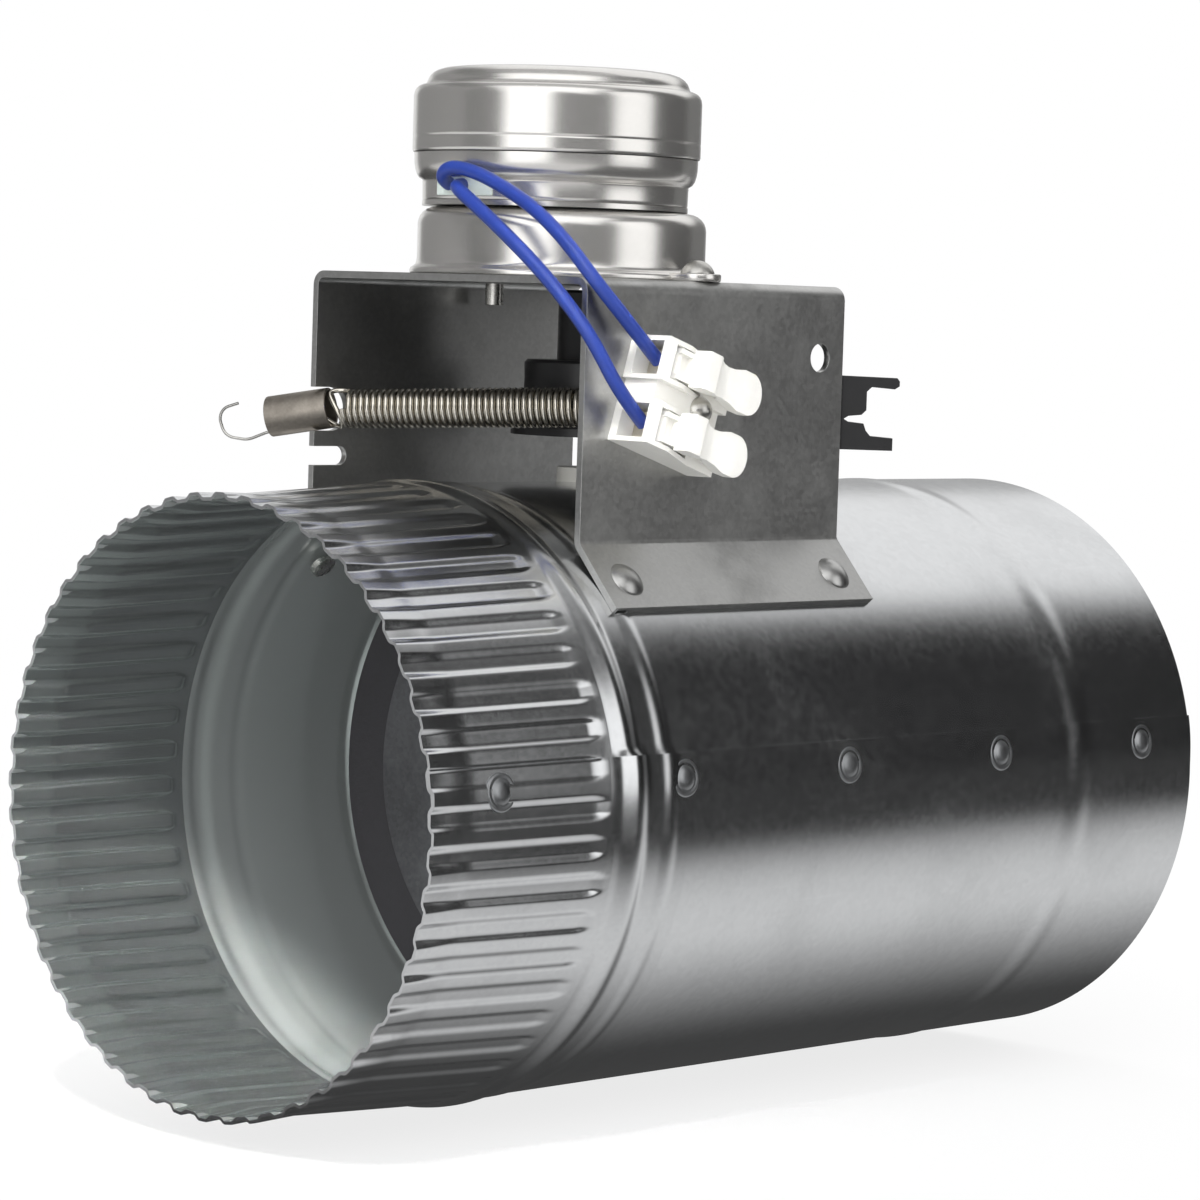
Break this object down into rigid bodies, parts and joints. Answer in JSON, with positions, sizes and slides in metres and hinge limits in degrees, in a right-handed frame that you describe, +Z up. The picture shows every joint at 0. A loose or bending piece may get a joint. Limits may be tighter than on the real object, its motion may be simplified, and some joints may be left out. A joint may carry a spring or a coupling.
{
  "type": "motorized round duct damper",
  "caption": "Round sheet-metal duct section with a crimped end, a gasketed butterfly blade, and a spring-return geared motor on a riveted bracket with a lever terminal.",
  "frame": {"origin": "centre of the plain end's mouth", "axes": "+X along the duct, out of the plain end; +Z up to the motor; +Y to the side away from the terminal"},
  "size_m": [0.1905, 0.1038, 0.1721],
  "materials": {
    "galvanized_duct": "spangled zinc, semi-bright",
    "zinc_bracket": "smooth zinc-plated sheet",
    "plated_steel": "zinc-plated, satin",
    "white_nylon": "natural nylon",
    "dark_sleeve": "dark grey tube",
    "bright_wire": "bright drawn wire",
    "spring_steel": "bright close-wound coil",
    "motor_steel": "nickel-plated drawn shell",
    "motor_band_steel": "plain bright band",
    "pale_moulding": "pale moulded insert",
    "copper_winding": "enamelled winding",
    "terminal_plastic": "white moulded polyamide",
    "brass_contact": "tinned spring strip",
    "blue_insulation": "blue insulated lead",
    "black_rubber": "soft sheet gasket",
    "black_plastic": "black moulding",
    "acetal_gear": "moulded gear",
    "ferrite_magnet": "ferrite ring"
  },
  "bodies": {
    "duct": {"duct_shell": "galvanized_duct", "seam_buttons": "galvanized_duct", "motor_bracket": "zinc_bracket", "bracket_rivets": "plated_steel", "upper_bushing": "white_nylon", "lower_bushing": "white_nylon", "anchor_sleeve": "dark_sleeve", "tie_wire": "bright_wire", "return_spring": "spring_steel", "gear_housing": "motor_steel", "motor_screws": "plated_steel", "mid_plate": "motor_steel", "motor_band": "motor_band_steel", "lead_bush": "pale_moulding", "motor_can": "motor_steel", "cluster_pin": "bright_wire", "lower_pole_plate": "motor_steel", "bobbin": "white_nylon", "stator_coil": "copper_winding", "upper_pole_plate": "motor_steel", "terminal_body": "terminal_plastic", "contact_clips": "brass_contact", "terminal_screw": "plated_steel", "upper_lead": "blue_insulation", "lower_lead": "blue_insulation"},
    "blade": {"blade_shaft": "plated_steel", "blade_front_plate": "galvanized_duct", "blade_gasket": "black_rubber", "blade_back_plate": "galvanized_duct", "blade_screws": "plated_steel", "drive_lever": "black_plastic", "lever_set_screw": "plated_steel", "output_gear": "acetal_gear"},
    "upper_lever": {"upper_terminal_lever": "terminal_plastic"},
    "lower_lever": {"lower_terminal_lever": "terminal_plastic"},
    "rotor": {"rotor": "ferrite_magnet"},
    "cluster": {"cluster_gear": "acetal_gear"}
  },
  "joints": [
    {"name": "blade_turn", "type": "hinge", "parent": "duct", "child": "blade", "pos_m": [-0.1035, 0, 0], "axis": [0, 0, 1], "range_deg": [0, 83.5], "stiffness_Nm_per_rad": 0.05, "springref_deg": -28.65, "deforming": ["return_spring"]},
    {"name": "cluster_spin", "type": "hinge", "parent": "duct", "child": "cluster", "pos_m": [-0.11193, 0.01092, 0.09], "axis": [0, 0, 1], "range_deg": [-301, 0]},
    {"name": "rotor_spin", "type": "hinge", "parent": "duct", "child": "rotor", "pos_m": [-0.1169, 0, 0.105], "axis": [0, 0, 1], "range_deg": [0, 903]},
    {"name": "upper_lever_press", "type": "hinge", "parent": "duct", "child": "upper_lever", "pos_m": [-0.12825, -0.03895, 0.07161], "axis": [0.2924, 0, 0.9563], "range_deg": [0, 8], "stiffness_Nm_per_rad": 0.02, "springref_deg": -5.73},
    {"name": "lower_lever_press", "type": "hinge", "parent": "duct", "child": "lower_lever", "pos_m": [-0.13132, -0.03895, 0.06157], "axis": [0.2924, 0, 0.9563], "range_deg": [0, 8], "stiffness_Nm_per_rad": 0.02, "springref_deg": -5.73}
  ],
  "couplings": [
    {"joint": "cluster_spin", "follows": "blade_turn", "ratio": -3.6},
    {"joint": "rotor_spin", "follows": "blade_turn", "ratio": 10.8}
  ]
}
